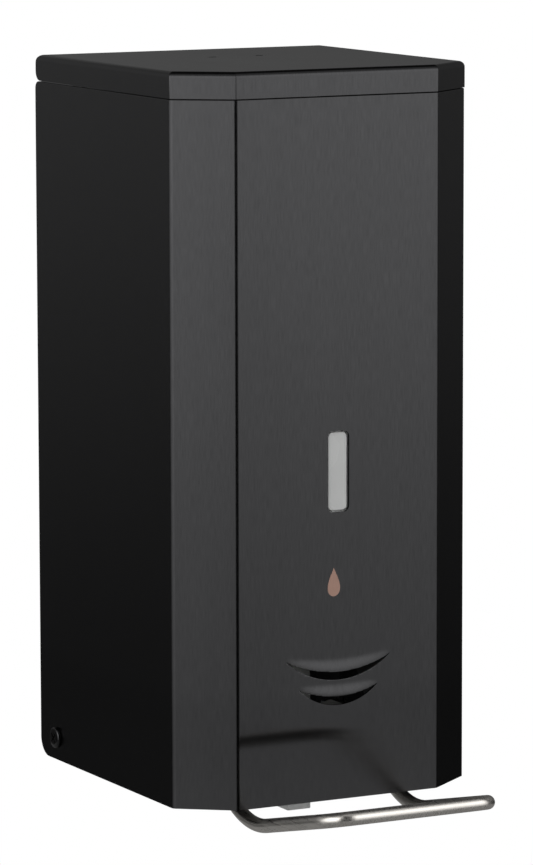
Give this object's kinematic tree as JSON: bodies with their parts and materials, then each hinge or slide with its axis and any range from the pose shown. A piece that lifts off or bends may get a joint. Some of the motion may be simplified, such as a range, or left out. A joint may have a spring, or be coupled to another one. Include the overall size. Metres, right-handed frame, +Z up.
{
  "type": "wall mounted soap dispenser",
  "caption": "Upright black steel soap dispenser for a wall, with angled front corners, a hinged locking lid, a level window and a bent rod press lever below.",
  "frame": {"origin": "middle of the wall tray's back face, on the centre line and 140 mm above the cover's lower edge", "axes": "+X to the right as one faces the front, +Y back into the wall, +Z up"},
  "size_m": [0.131, 0.1957, 0.2903],
  "materials": {
    "black_steel": "satin black coating over vertically brushed stainless sheet",
    "plain_steel": "plain stainless sheet",
    "zinc_steel": "zinc plated steel",
    "bright_rod": "polished stainless rod",
    "natural_polyethylene": "milky blow moulded plastic",
    "white_acetal": "smooth white plastic",
    "natural_nylon": "natural nylon",
    "clear_plastic": "pale translucent plastic",
    "black_rubber": "soft black rubber"
  },
  "bodies": {
    "casing": {"cover": "black_steel", "wall_tray": "black_steel", "tank_shelf": "black_steel", "side_screw_left": "black_steel", "side_screw_right": "black_steel", "hanger_strip": "plain_steel", "tie_bar": "plain_steel", "keeper_bar": "plain_steel", "hinge_bracket_left": "plain_steel", "hinge_bracket_right": "plain_steel", "hanger_rivet_left": "zinc_steel", "hanger_rivet_right": "zinc_steel", "shelf_rivet_left": "zinc_steel", "shelf_rivet_right": "zinc_steel", "weld_nut_left": "zinc_steel", "weld_nut_right": "zinc_steel", "hinge_rod": "zinc_steel", "hinge_ring_left": "zinc_steel", "hinge_ring_right": "zinc_steel", "return_spring": "bright_rod", "tank": "natural_polyethylene", "pump_cylinder": "white_acetal", "ring_nut": "white_acetal", "ball_stop": "white_acetal", "lever_bush_left": "natural_nylon", "lever_bush_right": "natural_nylon", "level_window": "clear_plastic", "spout": "clear_plastic", "neck_gasket": "black_rubber", "spout_washer": "black_rubber", "drip_valve": "black_rubber"},
    "lid_group": {"lid": "black_steel", "lid_ear_left": "plain_steel", "lid_ear_right": "plain_steel", "bolt_guide_left": "zinc_steel", "bolt_guide_right": "zinc_steel"},
    "bolt_group": {"lock_bolt": "plain_steel"},
    "lever_group": {"lever_rod": "bright_rod", "lever_yoke": "plain_steel", "axle_ring_left": "zinc_steel", "axle_ring_right": "zinc_steel"},
    "plunger_group": {"plunger": "natural_polyethylene", "plunger_seal": "black_rubber"},
    "ball_group": {"inlet_ball": "bright_rod"}
  },
  "joints": [
    {"name": "lever_press", "type": "hinge", "parent": "casing", "child": "lever_group", "pos_m": [0, -0.084, -0.1193], "axis": [1, 0, 0], "range_deg": [0, 14], "stiffness_Nm_per_rad": 1.2, "springref_deg": -14.32},
    {"name": "plunger_lift", "type": "slide", "parent": "casing", "child": "plunger_group", "axis": [0, 0, 1], "range_m": [0, 0.0071], "deforming": ["return_spring"]},
    {"name": "inlet_ball_lift", "type": "slide", "parent": "casing", "child": "ball_group", "axis": [0, 0, 1], "range_m": [0, 0.0028]},
    {"name": "lid_hinge", "type": "hinge", "parent": "casing", "child": "lid_group", "pos_m": [0, -0.0051, 0.1353], "axis": [-1, 0, 0], "range_deg": [0, 90]},
    {"name": "bolt_slide", "type": "slide", "parent": "lid_group", "child": "bolt_group", "axis": [-1, 0, 0], "range_m": [0, 0.0028]}
  ],
  "couplings": [
    {"joint": "plunger_lift", "follows": "lever_press", "m_per_rad": 0.02905}
  ]
}
